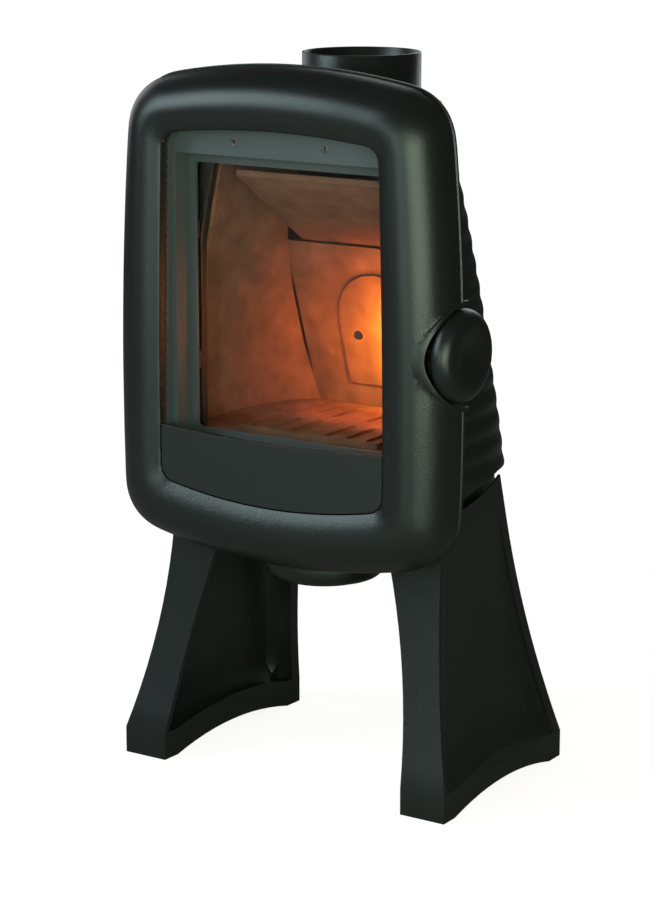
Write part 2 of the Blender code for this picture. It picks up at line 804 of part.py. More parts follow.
def slit_prism(name, upper, far_z):
    """A wide prism between one side of the slit and a far height."""
    steps = 14
    outline = []
    for k in range(steps + 1):
        y = blend(BODY_FRONT_Y - LEG_FLANGE * 2, SLIT_END_Y, k / steps)
        outline.append((y, slit_height(y) + (slit_width(y) if upper else 0)))
    behind = BODY_BACK_Y * 2
    outline += [(behind, outline[-1][1]), (behind, far_z), (outline[0][0], far_z)]
    return plate_yz(name, outline, -RING_HALF, RING_HALF, "steel")


def panel_tuck(z):
    """How far the panels draw in towards their foot."""
    share = max(0.0, PANEL_TUCK_Z - z) / (PANEL_TUCK_Z - PANEL_FOOT_Z)
    return PANEL_TUCK * share * share


def build_body():
    rows = int((BODY_TOP_Z - GAP - PANEL_FOOT_Z) / RIB_PITCH * RIB_STEPS)
    levels = [PANEL_FOOT_Z + RIB_PITCH * k / RIB_STEPS for k in range(rows + 1)]
    levels[-1] = BODY_TOP_Z - GAP

    def rib(z):
        return RIB_DEPTH * abs(math.sin(math.pi * (z - PANEL_FOOT_Z) / RIB_PITCH))

    for side, word in ((1, "right"), (-1, "left")):
        outer = []
        inner = []
        for z in levels:
            out = panel_tuck(z) - rib(z)
            end = seam_angle(z, out, BACK_HALF + GAP / 2)
            deep = seam_angle(z, BODY_WALL, BACK_HALF + GAP / 2)
            outer.append([body_point(end * k / PANEL_STEPS, z, out) for k in range(PANEL_STEPS + 1)])
            inner.append([body_point(deep * k / PANEL_STEPS, z, BODY_WALL)
                          for k in range(PANEL_STEPS + 1)])
        if side < 0:
            outer = [[(-x, y, z) for x, y, z in row] for row in outer]
            inner = [[(-x, y, z) for x, y, z in row] for row in inner]
        for rows in (outer, inner):
            for row in rows:
                x, y, z = row[-1]
                row[-1] = (side * (BACK_HALF + GAP / 2), y, z)
        panel = slab("side_panel_" + word, outer, inner, "black_cast_iron")
        carve(panel, [slit_prism("cut", True, PANEL_FOOT_Z / 2)])

    rows = [[], []]
    foot = slit_height(SLIT_END_Y) + SLIT_END_WIDTH
    back_levels = [foot + (BODY_TOP_Z - GAP - foot) * k / 6 for k in range(7)]
    for z in back_levels:
        for row, inset in zip(rows, (panel_tuck(z), BODY_WALL)):
            start = seam_angle(z, inset, BACK_HALF - GAP / 2)
            row.append([body_point(start + (math.pi - 2 * start) * k / 6, z, inset) for k in range(7)])
    slab("back_panel", rows[0], rows[1], "black_cast_iron")

    top = plate_xy("top_plate", section_outline(BODY_TOP_Z, -0.002), BODY_TOP_Z,
                   BODY_TOP_Z + TOP_THICK, "black_cast_iron")
    centre = (0, FLUE_Y, 0)
    carve(top, [round_hole("Z", centre, FLUE_R - FLUE_WALL, BODY_TOP_Z - CUT_PAST,
                          BODY_TOP_Z + TOP_THICK + CUT_PAST, 48)])
    foot = BODY_TOP_Z + TOP_THICK + GAP
    bore = FLUE_R - FLUE_WALL
    turned("flue_collar", [
        (bore, foot), (FLUE_FLANGE_R, foot), (FLUE_FLANGE_R, foot + FLUE_FLANGE_THICK),
        (FLUE_R, foot + FLUE_FLANGE_THICK + 0.001), (FLUE_R, FLUE_TOP_Z - 0.001),
        (FLUE_R - 0.001, FLUE_TOP_Z), (bore + 0.0005, FLUE_TOP_Z), (bore, FLUE_TOP_Z - 0.0005)],
        "Z", centre, "black_cast_iron", steps=48, ring=True)


def mouth_outline():
    """The mouth of the firebox, whose sides lean in over their upper third as the body does."""
    narrow = body_half(MOUTH_TOP - MOUTH_CORNER) - BODY_WALL - LINER_CLEAR - MOUTH_IN
    upper = rounded_box_xz(narrow, MOUTH_LOW, MOUTH_TOP, MOUTH_CORNER, 4)[:10]
    lower = rounded_box_xz(MOUTH_HALF, MOUTH_LOW, MOUTH_TOP, MOUTH_CORNER, 4)[10:]
    return upper + [(-MOUTH_HALF, MOUTH_FULL_Z)] + lower + [(MOUTH_HALF, MOUTH_FULL_Z)]


def build_front():
    outline = bowed_outline(
        RING_HALF - FRONT_INSET, RING_BELLY_Z, RING_SIDE_BOW,
        RING_TOP_Z - FRONT_INSET, RING_TOP_BOW,
        RING_LOW_Z + RING_TUCK + FRONT_INSET, RING_LOW_BOW, RING_CORNER - FRONT_INSET / 2)
    front = plate_xz("front_frame", outline, FRONT_Y, FRONT_Y + FRONT_THICK, "black_cast_iron")
    mouth = mouth_outline()
    window = [(KEEPER_X, KNOB_Z - KEEPER_HALF_Z), (KEEPER_END_X, KNOB_Z - KEEPER_HALF_Z),
              (KEEPER_END_X, KNOB_Z + KEEPER_HALF_Z), (KEEPER_X, KNOB_Z + KEEPER_HALF_Z)]
    carve(front, [plate_xz("cut", mouth, FRONT_Y - CUT_PAST, BODY_FRONT_Y + CUT_PAST, "steel"),
                  plate_xz("cut", window, FRONT_Y - CUT_PAST, BODY_FRONT_Y + CUT_PAST, "steel")])


def build_base():
    base = plate_xy("base_plate", section_outline(BASE_TOP, SHELL_INSET), BASE_Z, BASE_TOP,
                    "black_cast_iron")
    holes = [round_hole("Z", (0, VALVE_Y, 0), VALVE_STUD_R + BORE_GAP, BASE_Z - CUT_PAST,
                        BASE_TOP + CUT_PAST)]
    for x, y in leg_bolt_places():
        holes.append(round_hole("Z", (x, y, 0), LEG_BOLT_R + BORE_GAP, BASE_Z - CUT_PAST,
                                BASE_TOP + CUT_PAST, 12))
    carve(base, holes + air_holes(BASE_Z - CUT_PAST, BASE_TOP + CUT_PAST))

    levels = [BASE_TOP + GAP, (BASE_TOP + HEARTH_Z) / 2, HEARTH_Z - GAP]
    whole = (lambda z, inset: 0.0), (lambda z, inset: math.pi)
    outer = wall_rows(levels, 28, *whole, SHELL_INSET)
    inner = wall_rows(levels, 28, *whole, SHELL_INSET + SHELL_WALL)
    slab("lower_shell", outer, inner, "black_cast_iron")

    hearth = plate_xy("hearth_plate", section_outline(HEARTH_TOP, BODY_WALL + LINER_CLEAR), HEARTH_Z,
                      HEARTH_TOP, "firebox_iron")
    rest = GRATE_REST
    carve(hearth, [box("cut", (rest - GRATE_HALF, GRATE_FRONT_Y + rest, HEARTH_Z - CUT_PAST),
                       (GRATE_HALF - rest, GRATE_BACK_Y - rest, HEARTH_TOP + CUT_PAST), "steel")])
    low = HEARTH_TOP + GAP
    for side, word in ((-1, "left"), (1, "right")):
        x0, x1 = sorted((side * GAP, side * GRATE_HALF))
        grate = box("grate_" + word, (x0, GRATE_FRONT_Y, low), (x1, GRATE_BACK_Y, low + GRATE_THICK),
                    "firebox_iron")
        slots = []
        for row_y in (SLOT_FRONT_Y, SLOT_BACK_Y):
            for k in range(3):
                x = side * (SLOT_FIRST + SLOT_PITCH * k)
                slots.append(slot_cutter(x, row_y, low))
        carve(grate, slots)

    sheet = CARRIER_SHEET
    low, high = BASE_TOP + GAP, PAN_Z - GAP
    half = CARRIER_HALF
    plate_xz("pan_carrier", [(half, low), (half, high), (-half, high), (-half, low),
                             (sheet - half, low), (sheet - half, high - sheet),
                             (half - sheet, high - sheet), (half - sheet, low)],
             PAN_FRONT_Y, PAN_BACK_Y, "steel")
    pan = box("ash_pan", (-PAN_HALF, PAN_FRONT_Y, PAN_Z), (PAN_HALF, PAN_BACK_Y, PAN_Z + PAN_HIGH),
              "steel")
    w = PAN_WALL
    carve(pan, [box("cut", (w - PAN_HALF, PAN_FRONT_Y + w, PAN_Z + w),
                    (PAN_HALF - w, PAN_BACK_Y - w, PAN_Z + PAN_HIGH + CUT_PAST), "steel")])


def slot_cutter(x, y, z):
    """A long slot with round ends, along Y."""
    outline = []
    r = SLOT_WIDTH / 2
    for end in (1, -1):
        for k in range(4):
            a = math.radians(60 * k) if end > 0 else math.radians(180 + 60 * k)
            outline.append((x + r * math.cos(a), y + end * (SLOT_LENGTH / 2 - r) + r * math.sin(a)))
    return plate_xy("cut", outline, z - CUT_PAST, z + GRATE_THICK + CUT_PAST, "steel")


def build_liners():
    foot_z = HEARTH_TOP + GAP
    lean = (REAR_FOOT_Y - REAR_TOP_Y) / (REAR_TOP_Z - foot_z)

    def face_y(z):
        return REAR_FOOT_Y - lean * (min(z, REAR_TOP_Z) - foot_z)

    levels = [blend(foot_z, LINER_TOP_Z, k / 5) for k in range(6)]
    near_inset = BODY_WALL + LINER_CLEAR
    for side, word in ((1, "right"), (-1, "left")):
        grids = []
        for inset in (near_inset, near_inset + LINER_WALL):
            rows = []
            for z in levels:
                end = depth_angle(z, inset, face_y(z) - LINER_JOINT)
                rows.append([(side * x, y, z) for x, y, z in
                             (body_point(end * k / 5, z, inset) for k in range(6))])
            grids.append(rows)
        slab("side_liner_" + word, grids[0], grids[1], "firebox_iron")

    rear = plate_yz("rear_liner", [
        (face_y(foot_z), foot_z), (face_y(foot_z) + REAR_THICK, foot_z),
        (face_y(REAR_TOP_Z) + REAR_THICK, REAR_TOP_Z), (face_y(REAR_TOP_Z), REAR_TOP_Z)],
        -REAR_HALF, REAR_HALF, "firebox_iron")
    outline = [(BOSS_HALF, BOSS_LOW_Z), (BOSS_HALF, BOSS_TOP_Z - BOSS_HALF)]
    for k in range(1, 10):
        a = math.pi * k / 10
        outline.append((BOSS_HALF * math.cos(a), BOSS_TOP_Z - BOSS_HALF + BOSS_HALF * math.sin(a)))
    outline += [(-BOSS_HALF, BOSS_TOP_Z - BOSS_HALF), (-BOSS_HALF, BOSS_LOW_Z)]
    loops = []
    for rise in (-BOSS_RISE, REAR_THICK / 2):
        loops.append([(x, face_y(z) + rise, z) for x, z in outline])
    carve(rear, [loft("boss", loops, "steel")], "UNION")
    face = face_y(LINER_SCREW_Z) - BOSS_RISE
    for side, word in ((-1, "left"), (1, "right")):
        centre = (side * LINER_SCREW_X, face, LINER_SCREW_Z)
        seat = LINER_SCREW_SEAT
        carve(rear, [round_hole("Y", centre, 0.0028 + BORE_GAP, -0.02, 0.05, 12),
                     round_hole("Y", centre, 0.0060 + 2 * BORE_GAP, -0.02, seat, 16)])
        turned("liner_screw_" + word,
               [(0.0050, seat - 0.0044), (0.0060, seat - 0.0034), (0.0060, seat - GAP),
                (0.0028, seat - GAP), (0.0028, 0.018)],
               "Y", centre, "steel", steps=12)

    low_z = REAR_TOP_Z + 2 * GAP
    start = REAR_TOP_Y + REAR_THICK - 0.001
    rise = BAFFLE_SLOPE * (start - BAFFLE_FRONT_Y)
    plate_yz("baffle_plate", [
        (start, low_z), (start, low_z + REAR_THICK), (BAFFLE_FRONT_Y, low_z + rise + REAR_THICK),
        (BAFFLE_FRONT_Y, low_z + rise)], -BAFFLE_HALF, BAFFLE_HALF, "firebox_iron")


# Legs
def leg_rise(z):
    """Height above the foot band, as a share of the way to where the flare starts."""
    return (max(z, FOOT_HIGH) - FOOT_HIGH) / (LEG_FLARE_Z - FOOT_HIGH)


def leg_outer(z):
    down = max(0.0, LEG_FLARE_Z - max(z, FOOT_HIGH)) / (LEG_FLARE_Z - FOOT_HIGH)
    return LEG_TOP_HALF + LEG_SPLAY * down ** 2


def leg_inner(z):
    up = leg_rise(z)
    return LEG_INNER - LEG_INNER_LEAN * up - LEG_INNER_BOW * up * up


def leg_front(z):
    down = (LEG_FRONT_Z - max(z, FOOT_HIGH)) / (LEG_FRONT_Z - FOOT_HIGH)
    return LEG_FRONT_Y - LEG_FRONT_LEAN * down - LEG_FRONT_BOW * down * abs(down)


def leg_rear(z):
    up = leg_rise(z)
    return LEG_REAR_Y - LEG_REAR_LEAN * up - LEG_REAR_BOW * up * up


def leg_web(z):
    share = min(1.0, max(0.0, (LEG_FLARE_Z - z) / (LEG_FLARE_Z - FOOT_HIGH)))
    return leg_outer(z) - LEG_RECESS * share


def arch(y):
    return ARCH_RISE * (1 - ((y - ARCH_Y) / ARCH_HALF) ** 2)


def leg_bolt_places():
    places = []
    for y in (BODY_FRONT_Y + 0.014, leg_rear(BASE_Z) - LEG_FLANGE / 2):
        for side in (-1, 1):
            places.append((side * LEG_BOLT_X, y))
    return places


def leg_blank():
    levels = [0] + [blend(FOOT_HIGH, LEG_TOP_Z, k / 14) for k in range(15)]
    loops = []
    for z in levels:
        yf, yr = leg_front(z), leg_rear(z)
        outer, inner = leg_outer(z), leg_inner(z)
        loops.append([(inner, yf, z), (outer, yf, z),
                      (outer - LEG_TOE_IN, yr, z), (inner - LEG_TOE_IN, yr, z)])
    return loft("leg_right", loops, "black_cast_iron")


def sweep(away, reach):
    """A hollow's fillet: 1 at its wall, running out smoothly at this reach."""
    return max(0.0, 1 - away / reach) ** 2


def leg_pocket(inside):
    """The hollow on one side of the web, which sweeps out to the flanges and the foot band."""
    near, far = [], []
    for k in range(15):
        row, back = [], []
        for share in POCKET_SHARES:
            foot_y = blend(leg_front(FOOT_HIGH) + LEG_FRONT_WALL, leg_rear(FOOT_HIGH) - LEG_FLANGE, share)
            foot_z = max(0.0, arch(foot_y)) + LEG_BAND_HIGH
            z = blend(foot_z, LEG_TOP_Z + 2 * CUT_PAST, (k / 14) ** 1.5)
            y0, y1 = leg_front(z) + LEG_FRONT_WALL, leg_rear(z) - LEG_FLANGE
            y = blend(y0, y1, share)
            wall = min(y - y0, y1 - y)
            web = leg_web(z) - LEG_TOE_IN * share
            if inside:
                fill = max(LEG_FILLET * sweep(wall, LEG_FILLET),
                           LEG_FOOT_FILLET * sweep(z - foot_z, LEG_FOOT_FILLET))
                row.append((web - LEG_WEB - fill, y, z))
                back.append((LEG_THICK, y, z))
            else:
                deep = leg_outer(z) - leg_web(z)
                fill = deep * max(0.55 * sweep(wall, LEG_FILLET), 0.94 * sweep(z - foot_z, LEG_SWEEP))
                clear = 0.0008 if z > LEG_FLARE_Z else 0
                row.append((web + fill + clear, y, z))
                back.append((RING_HALF * 1.4, y, z))
        near.append(row)
        far.append(back)
    return slab("pocket", near, far, "steel", smooth=False)


def body_room():
    """The space of the ash chamber and base, which the leg's skirt stands around."""
    loops = []
    for z in (BASE_Z - GAP, BODY_DOME_Z):
        rim = [(body_half(BASE_TOP) - SHELL_INSET + 0.0018, BODY_FRONT_Y - 2 * GAP)]
        for share in (0.25, 0.40, 0.55, 0.62, 0.69):
            y = BODY_FRONT_Y + share * (body_back(BASE_TOP) - BODY_FRONT_Y)
            angle = math.asin(share ** (body_power(BASE_TOP) / 2))
            rim.append((body_point(angle, BASE_TOP, SHELL_INSET)[0] + 0.0018, y))
        rim += [(0, rim[-1][1]), (0, rim[0][1])]
        loops.append([(x, y, z) for x, y in rim])
    return loft("room", loops, "steel", smooth=False)


def build_legs():
    leg = leg_blank()
    foot = []
    for k in range(13):
        y = ARCH_Y - ARCH_HALF + 2 * ARCH_HALF * k / 12
        foot.append((y, arch(y)))
    foot = [(foot[0][0], -FOOT_HIGH)] + foot + [(foot[-1][0], -FOOT_HIGH)]
    carve(leg, [
        slit_prism("cut", False, BODY_DOME_Z),
        box("cut", (0, RIM_Y * 3, RING_LOW_Z + RING_TUCK + FRONT_INSET - 0.002),
            (RING_HALF, BODY_FRONT_Y - 2 * GAP, BODY_DOME_Z), "steel"),
        plate_yz("cut", foot, LEG_THICK, RING_HALF * 1.4, "steel"),
        leg_pocket(False),
        leg_pocket(True)])
    places = [(x, y) for x, y in leg_bolt_places() if x > 0]
    x, y = places[0]
    pad = box("pad", (x - 0.014, leg_front(BASE_Z) + 0.004, BASE_Z - LEG_PAD_HIGH),
              (x + 0.014, y + 0.010, BASE_Z - GAP), "steel")
    carve(leg, [pad], "UNION")
    carve(leg, [body_room()])
    nub_z = slit_height(SLIT_POST_Y)
    nub_top = nub_z + slit_width(SLIT_POST_Y) - 0.0012
    nub = turned("nub", [(SLIT_POST_R, nub_z - 0.004), (SLIT_POST_R, nub_top)], "Z",
                 (leg_outer(nub_z) - 0.0045, SLIT_POST_Y, 0), "steel", steps=10)
    carve(leg, [nub], "UNION")
    low = BASE_Z - 2 * LEG_PAD_HIGH
    carve(leg, [round_hole("Z", (x, y, 0), LEG_BOLT_R + BORE_GAP, low, BASE_TOP, 12)
                for x, y in places])
    mirror = Matrix.Diagonal((-1, 1, 1, 1))
    other = leg.data.copy()
    other.transform(mirror)
    other.flip_normals()
    bpy.context.collection.objects.link(bpy.data.objects.new("leg_left", other))
    for number, (x, y) in enumerate(leg_bolt_places(), 1):
        top = BASE_TOP + GAP
        turned("leg_bolt_%d" % number,
               [(LEG_BOLT_R, BASE_Z - LEG_BOLT_REACH), (LEG_BOLT_R, top), (0.0055, top),
                (0.0055, top + 0.004)],
               "Z", (x, y, 0), "steel", steps=10)


# Hinge
def build_hinge():
    y = on_door(-HINGE_BACK)
    home = door_home()
    for z, word in ((HINGE_LOW_Z, "lower"), (HINGE_TOP_Z, "upper")):
        centre = (HINGE_X, y, 0)
        lug = turned("hinge_lug_" + word, [(HINGE_R, z), (HINGE_R, z + HINGE_HIGH)], "Z", centre,
                     "black_cast_iron", home, steps=20)
        edge = bowed_outline_half(z) + 0.0005
        arm = box("arm", (HINGE_X, on_door(FRAME_BACK - GAP), z),
                  (-(edge + 0.0005), on_door(FRAME_BACK - GAP - 0.006), z + HINGE_HIGH), "steel")
        carve(lug, [arm], "UNION")
        carve(lug, [round_hole("Z", centre, HINGE_PIN_R + BORE_GAP, z - CUT_PAST,
                               z + HINGE_HIGH + CUT_PAST)])
        under = z - GAP
        bracket = turned("hinge_bracket_" + word, [(HINGE_R, under - HINGE_HIGH), (HINGE_R, under)],
                         "Z", centre, "black_cast_iron", steps=20)
        frame_x = RING_HALF - FRONT_INSET - RING_SIDE_BOW * (z - RING_BELLY_Z) ** 2
        frame_low = RING_HALF - FRONT_INSET - RING_SIDE_BOW * (under - HINGE_HIGH - RING_BELLY_Z) ** 2
        reach = max(frame_x, frame_low) + GAP
        arm = box("arm", (HINGE_X, y, under - HINGE_HIGH),
                  (-reach, y + 0.012, under), "steel")
        carve(bracket, [arm], "UNION")
        carve(bracket, [round_hole("Z", centre, HINGE_PIN_R + BORE_GAP, under - HINGE_HIGH - CUT_PAST,
                                   z + CUT_PAST)])
        turned("hinge_pin_" + word, [(HINGE_PIN_R, under - HINGE_HIGH + 0.001),
                                     (HINGE_PIN_R, z + HINGE_HIGH + 0.002)],
               "Z", centre, "steel", steps=16)


def bowed_outline_half(z):
    """Half width of the window frame's rear rope line at this height."""
    half = OPENING_HALF - OPENING_SIDE_BOW * (z - OPENING_BELLY_Z) ** 2
    return half + DOOR_ROPE_OUT + FRAME_WALL / 2 + DOOR_ROPE_R


# Handle and latch
def build_handle():
    home = (KNOB_IN_X, KNOB_Y, KNOB_Z)
    centre = (0, KNOB_Y, KNOB_Z)
    crest = KNOB_R - KNOB_EDGE
    profile = [(0.012, KNOB_IN_X)]
    for degrees in (-60, -40, -20, 0, 15, 30, 45, 60, 75, 90):
        a = math.radians(degrees)
        x = max(KNOB_IN_X, KNOB_FULL_X + KNOB_EDGE * math.sin(a))
        profile.append((crest + KNOB_EDGE * math.cos(a), x))
    for share in (0.8, 0.6, 0.4, 0.2, 0.04):
        drop = 0.5 + 0.5 * math.cos(math.pi * share)
        profile.append((crest * share, KNOB_OUT_X - KNOB_DISH * drop))
    turned("handle_knob", profile, "X", centre, "black_cast_iron", home, steps=48)
    turned("handle_spindle", [(SPINDLE_R, SPINDLE_IN_X), (SPINDLE_R, KNOB_IN_X - GAP)], "X", centre,
           "steel", home, steps=20)

    bearing = box("handle_bearing", (BEARING_X, on_door(0.009), KNOB_Z - 0.016),
                  (BEARING_END_X, on_door(-0.0113), KNOB_Z + 0.0485), "black_cast_iron", door_home())
    edge_x = bowed_outline_half(KNOB_Z + 0.040) + 0.0005
    arm = box("arm", (edge_x, on_door(FRAME_BACK - GAP), KNOB_Z + 0.0305),
              (BEARING_X + 0.002, on_door(-0.0113), KNOB_Z + 0.0485), "steel")
    carve(bearing, [arm], "UNION")
    carve(bearing, [round_hole("X", centre, SPINDLE_R + BORE_GAP, BEARING_X - CUT_PAST,
                               BEARING_END_X + CUT_PAST, 20)])

    outline = []
    inner, outer = KEEPER_BACK - KEEPER_SLOT, KEEPER_BACK + KEEPER_SLOT
    for degrees in (-25, -6, 13, 32, 51, 70):
        a = math.radians(degrees)
        outline.append((TONGUE_R * math.cos(a), TONGUE_R * math.sin(a)))
    for degrees in (70, 50, 30, 10, -8, -13):
        a = math.radians(degrees)
        outline.append((outer * math.cos(a), outer * math.sin(a)))
    for degrees in (-13, -8, 10, 30, 50, 70):
        a = math.radians(degrees)
        outline.append((inner * math.cos(a), inner * math.sin(a)))
    for degrees in (110, 150, 190, 230, 270, 310):
        a = math.radians(degrees)
        outline.append((0.010 * math.cos(a), 0.010 * math.sin(a)))
    outline = [(KNOB_Y + y, KNOB_Z + z) for y, z in outline]
    tongue = plate_yz("latch_tongue", outline, TONGUE_X, TONGUE_END_X, "steel", home)
    carve(tongue, [round_hole("X", centre, SPINDLE_R + BORE_GAP, TONGUE_X - CUT_PAST,
                              TONGUE_END_X + CUT_PAST, 20)])

    pin_y = KNOB_Y + KEEPER_BACK
    keeper = turned("latch_keeper", [(KEEPER_R, KEEPER_X + 0.002), (KEEPER_R, KEEPER_END_X - 0.002)],
                    "X", (0, pin_y, KNOB_Z), "steel", steps=16)
    cheek = 0.0045
    for x0, x1 in ((KEEPER_X + GAP, KEEPER_X + cheek), (KEEPER_END_X - cheek, KEEPER_END_X - GAP)):
        carve(keeper, [box("cheek", (x0, FRONT_Y + GAP, KNOB_Z - 0.010),
                           (x1, FRONT_Y + FRONT_THICK - GAP, KNOB_Z + 0.010), "steel")], "UNION")


# Air valve
def air_holes(low, high):
    """Cutters for the ring of air holes that the dish, shutter, plate and base share."""
    holes = []
    for k in range(AIR_HOLES):
        a = 2 * math.pi * k / AIR_HOLES
        place = (AIR_RING_R * math.cos(a), VALVE_Y + AIR_RING_R * math.sin(a), 0)
        holes.append(round_hole("Z", place, AIR_HOLE_R, low, high, 10))
    return holes


def build_valve():
    centre = (0, VALVE_Y, 0)
    low, top, wall = VALVE_LOW_Z, VALVE_TOP_Z, VALVE_WALL
    bowl = 0.016
    outer = []
    for k in range(4):
        a = math.pi / 2 * k / 3
        outer.append((VALVE_R - bowl + bowl * math.sin(a), low + bowl * (1 - math.cos(a))))
    inner = []
    for k in range(4):
        a = math.pi / 2 * (3 - k) / 3
        inner.append((VALVE_R - wall - (bowl - wall) * (1 - math.sin(a)),
                      low + wall + (bowl - wall) * (1 - math.cos(a))))
    hub = VALVE_HUB_R
    bore = VALVE_STUD_R + BORE_GAP
    shelf = top - SHUTTER_THICK - GAP
    profile = [(bore, low)] + outer + [(VALVE_R, top), (VALVE_R - wall, top)] + inner
    profile += [(hub, low + wall), (hub, shelf), (bore, shelf)]
    dish = turned("air_valve_dish", profile, "Z", centre, "black_cast_iron", steps=30, ring=True)
    carve(dish, air_holes(low - CUT_PAST, low + 2 * wall))
    shutter = turned("air_shutter", [(VALVE_R - wall - GAP, shelf + GAP), (VALVE_R - wall - GAP, top)],
                     "Z", centre, "steel", steps=30)
    past = top + CUT_PAST
    carve(shutter, air_holes(low, past) + [round_hole("Z", centre, bore, low, past)])

    teeth = VALVE_TEETH
    loops = []
    rim = VALVE_R + GAP
    under = top - VALVE_GRIP_HIGH
    for radius, z, tooth in ((rim, top, 0), (rim + 0.0025, top, 1), (rim + 0.0025, under, 1),
                             (rim, under, 0)):
        loop = []
        for k in range(teeth * 2):
            a = math.pi * k / teeth
            r = radius + tooth * VALVE_TOOTH * (k % 2)
            loop.append((r * math.cos(a), VALVE_Y + r * math.sin(a), z))
        loops.append(loop)
    loft("air_valve_grip", loops, "black_cast_iron", centre, ring=True, smooth=False)

    turned("air_valve_stud", [(0.008, low - 0.005), (0.008, low - GAP), (VALVE_STUD_R, low - GAP),
                              (VALVE_STUD_R, BASE_TOP - 0.001)], "Z", centre, "steel", steps=16)
    plate = turned("air_inlet_plate", [(VALVE_R - 0.008, top + GAP), (VALVE_R - 0.008, BASE_Z - GAP)],
                   "Z", centre, "black_cast_iron", steps=30)
    past = BASE_Z + CUT_PAST
    carve(plate, air_holes(low, past) + [round_hole("Z", centre, bore, low, past)])


def main():
    clear_scene()
    build_ring()
    build_window()
    build_lower_panel()
    build_front()
    build_body()
    build_base()
    build_liners()
    build_legs()
    build_hinge()
    build_handle()
    build_valve()


main()
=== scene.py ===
"""Looks of a cast iron wood stove: satin black castings, a glazed door and a warm firebox."""
import json
import math

import bpy
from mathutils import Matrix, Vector


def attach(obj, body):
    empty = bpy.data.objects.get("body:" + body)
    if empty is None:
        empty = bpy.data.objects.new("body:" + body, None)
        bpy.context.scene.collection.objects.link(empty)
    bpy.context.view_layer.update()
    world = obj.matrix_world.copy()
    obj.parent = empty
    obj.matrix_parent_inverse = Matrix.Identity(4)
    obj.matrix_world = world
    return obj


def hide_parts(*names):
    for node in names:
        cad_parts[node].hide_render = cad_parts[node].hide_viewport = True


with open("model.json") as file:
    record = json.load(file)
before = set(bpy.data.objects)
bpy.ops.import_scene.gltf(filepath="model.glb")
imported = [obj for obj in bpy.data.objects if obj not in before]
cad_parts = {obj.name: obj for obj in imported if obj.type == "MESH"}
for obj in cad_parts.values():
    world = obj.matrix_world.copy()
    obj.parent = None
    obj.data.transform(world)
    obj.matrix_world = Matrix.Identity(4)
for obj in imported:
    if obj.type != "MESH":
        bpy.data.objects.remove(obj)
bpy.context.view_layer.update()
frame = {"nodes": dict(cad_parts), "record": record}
nodes = frame["nodes"]


# Colours and materials
def linear(code):
    """The linear colour of an sRGB hex value."""
    parts = [int(code[k:k + 2], 16) / 255 for k in (1, 3, 5)]
    return tuple(c / 12.92 if c <= 0.04045 else ((c + 0.055) / 1.055) ** 2.4 for c in parts) + (1.0,)


def add(tree, kind, links=None, **settings):
    """Adds a node. A setting is one of its properties or one of its inputs."""
    made = tree.nodes.new(kind)
    for name, value in settings.items():
        if hasattr(made, name):
            setattr(made, name, value)
        else:
            made.inputs[name.replace("_", " ")].default_value = value
    for name, source in (links or {}).items():
        tree.links.new(source, made.inputs[name])
    return made


def start(name):
    """A new material with its shader and the object's own coordinates."""
    material = bpy.data.materials.new(name)
    material.use_nodes = True
    tree = material.node_tree
    place = add(tree, "ShaderNodeTexCoord").outputs["Object"]
    return material, tree, tree.nodes["Principled BSDF"], place


def stops(ramp, *pairs):
    """Puts colours or greys on a ramp."""
    marks = ramp.color_ramp.elements
    while len(marks) < len(pairs):
        marks.new(0.5)
    for mark, (at, colour) in zip(marks, pairs):
        mark.position = at
        mark.color = colour if isinstance(colour, tuple) else (colour, colour, colour, 1.0)


def painted_casting(name, dark, light, rough, grain_mm, depth_mm, gloss=0.5):
    """Heat-proof satin paint sprayed over a sand casting.

    The sand leaves a fine grain that breaks the highlights up into specks, and the paint is
    a little duller in its hollows. The real grain is about half a millimetre, drawn coarser.
    """
    material, tree, shader, place = start(name)
    grain = add(tree, "ShaderNodeTexNoise", {"Vector": place}, Scale=1000 / grain_mm, Detail=3.0,
                Roughness=0.6)
    cloud = add(tree, "ShaderNodeTexNoise", {"Vector": place}, Scale=9.0, Detail=4.0)
    both = add(tree, "ShaderNodeMix", {"A": grain.outputs["Fac"], "B": cloud.outputs["Fac"]},
               Factor=0.35)
    tint = add(tree, "ShaderNodeValToRGB", {"Fac": both.outputs["Result"]})
    stops(tint, (0.30, linear(dark)), (0.70, linear(light)))
    tree.links.new(tint.outputs["Color"], shader.inputs["Base Color"])
    dull = add(tree, "ShaderNodeMapRange", {"Value": both.outputs["Result"]}, From_Min=0.3,
               From_Max=0.7, To_Min=rough + 0.06, To_Max=rough - 0.05)
    tree.links.new(dull.outputs["Result"], shader.inputs["Roughness"])
    shader.inputs["Specular IOR Level"].default_value = gloss
    shader.inputs["Specular Tint"].default_value = linear("#dcfbff")
    bump = add(tree, "ShaderNodeBump", {"Height": grain.outputs["Fac"]}, Strength=0.5,
               Distance=depth_mm / 1000)
    tree.links.new(bump.outputs["Normal"], shader.inputs["Normal"])
    return material


def scaled_iron():
    """Bare cast iron that fire has burnt: brown scale in blotches over a rough casting."""
    material, tree, shader, place = start("heat_scaled_cast_iron")
    blotch = add(tree, "ShaderNodeTexNoise", {"Vector": place}, Scale=28.0, Detail=6.0, Roughness=0.65)
    sand = add(tree, "ShaderNodeTexNoise", {"Vector": place}, Scale=500.0, Detail=2.0)
    tint = add(tree, "ShaderNodeValToRGB", {"Fac": blotch.outputs["Fac"]})
    stops(tint, (0.30, linear("#4a3c32")), (0.55, linear("#625042")), (0.75, linear("#746150")))
    tree.links.new(tint.outputs["Color"], shader.inputs["Base Color"])
    shader.inputs["Roughness"].default_value = 0.85
    bump = add(tree, "ShaderNodeBump", {"Height": sand.outputs["Fac"]}, Strength=0.25, Distance=0.0004)
    tree.links.new(bump.outputs["Normal"], shader.inputs["Normal"])
    return material


